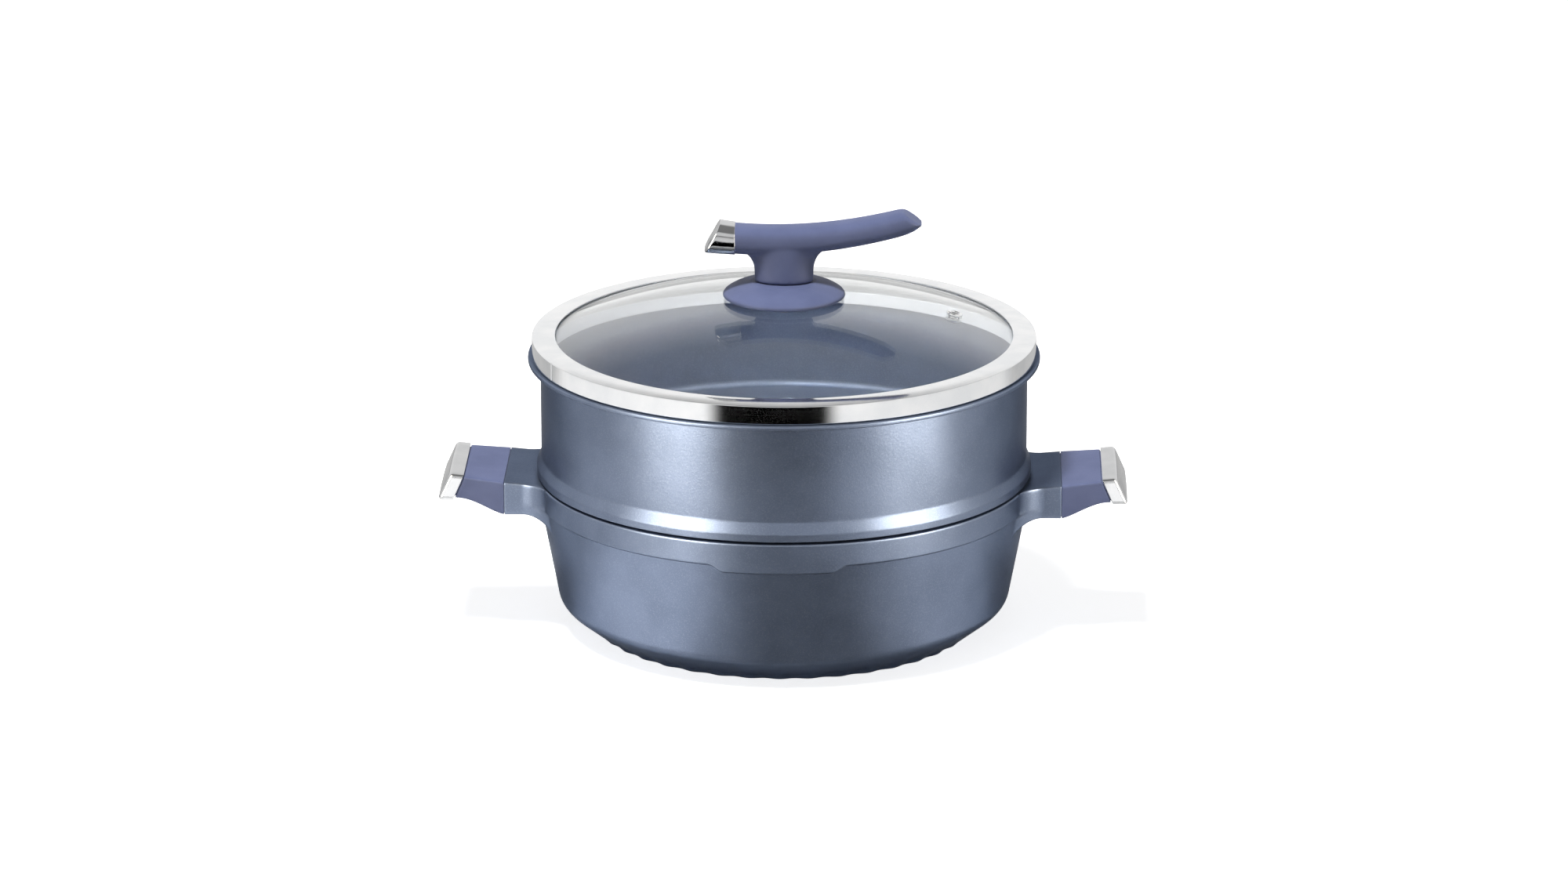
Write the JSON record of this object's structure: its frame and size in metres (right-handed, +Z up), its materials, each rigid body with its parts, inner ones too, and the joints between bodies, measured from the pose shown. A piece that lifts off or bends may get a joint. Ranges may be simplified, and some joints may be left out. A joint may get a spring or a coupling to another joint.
{
  "type": "casserole with steamer insert",
  "caption": "Shallow cast casserole with two side handles, a stacking steamer tier with perforated floor, and a domed glass lid with a steel rim and a bar knob.",
  "frame": {"origin": "centre of the underside, on the surface that the casserole stands on", "axes": "+Z up along the common axis of the tiers, +X along the side handles towards the raised end of the knob"},
  "size_m": [0.3488, 0.2586, 0.2162],
  "materials": {
    "slate_coating": "satin slate blue metallic-flake coating on cast aluminium",
    "base_steel": "turned magnetic steel",
    "lavender_soft_touch": "matt lavender soft-touch",
    "chrome_trim": "bright chrome plate",
    "fastener_steel": "zinc-plated steel",
    "lid_glass": "clear tempered glass",
    "rim_steel": "polished stainless steel",
    "insert_brass": "plain brass",
    "seal_silicone": "translucent silicone"
  },
  "bodies": {
    "casserole": {"casserole_body": "slate_coating", "induction_plate": "base_steel", "left_grip": "lavender_soft_touch", "right_grip": "lavender_soft_touch", "left_end_cap": "chrome_trim", "right_end_cap": "chrome_trim", "left_grip_screw": "fastener_steel", "right_grip_screw": "fastener_steel", "left_grip_washer": "fastener_steel", "right_grip_washer": "fastener_steel"},
    "steamer": {"steamer_insert": "slate_coating"},
    "lid": {"lid_glass": "lid_glass", "lid_rim_band": "rim_steel", "vent_grommet": "rim_steel", "knob_base_disc": "lavender_soft_touch", "knob_handle": "lavender_soft_touch", "knob_tip_cap": "chrome_trim", "knob_insert": "insert_brass", "knob_screw": "fastener_steel", "knob_washer": "fastener_steel", "knob_seal_upper": "seal_silicone", "knob_seal_lower": "seal_silicone"}
  },
  "joints": [
    {"name": "steamer_lift", "type": "slide", "parent": "casserole", "child": "steamer", "axis": [0, 0, 1], "range_m": [0, 0.15]},
    {"name": "lid_lift", "type": "slide", "parent": "steamer", "child": "lid", "axis": [0, 0, 1], "range_m": [0, 0.12]}
  ]
}
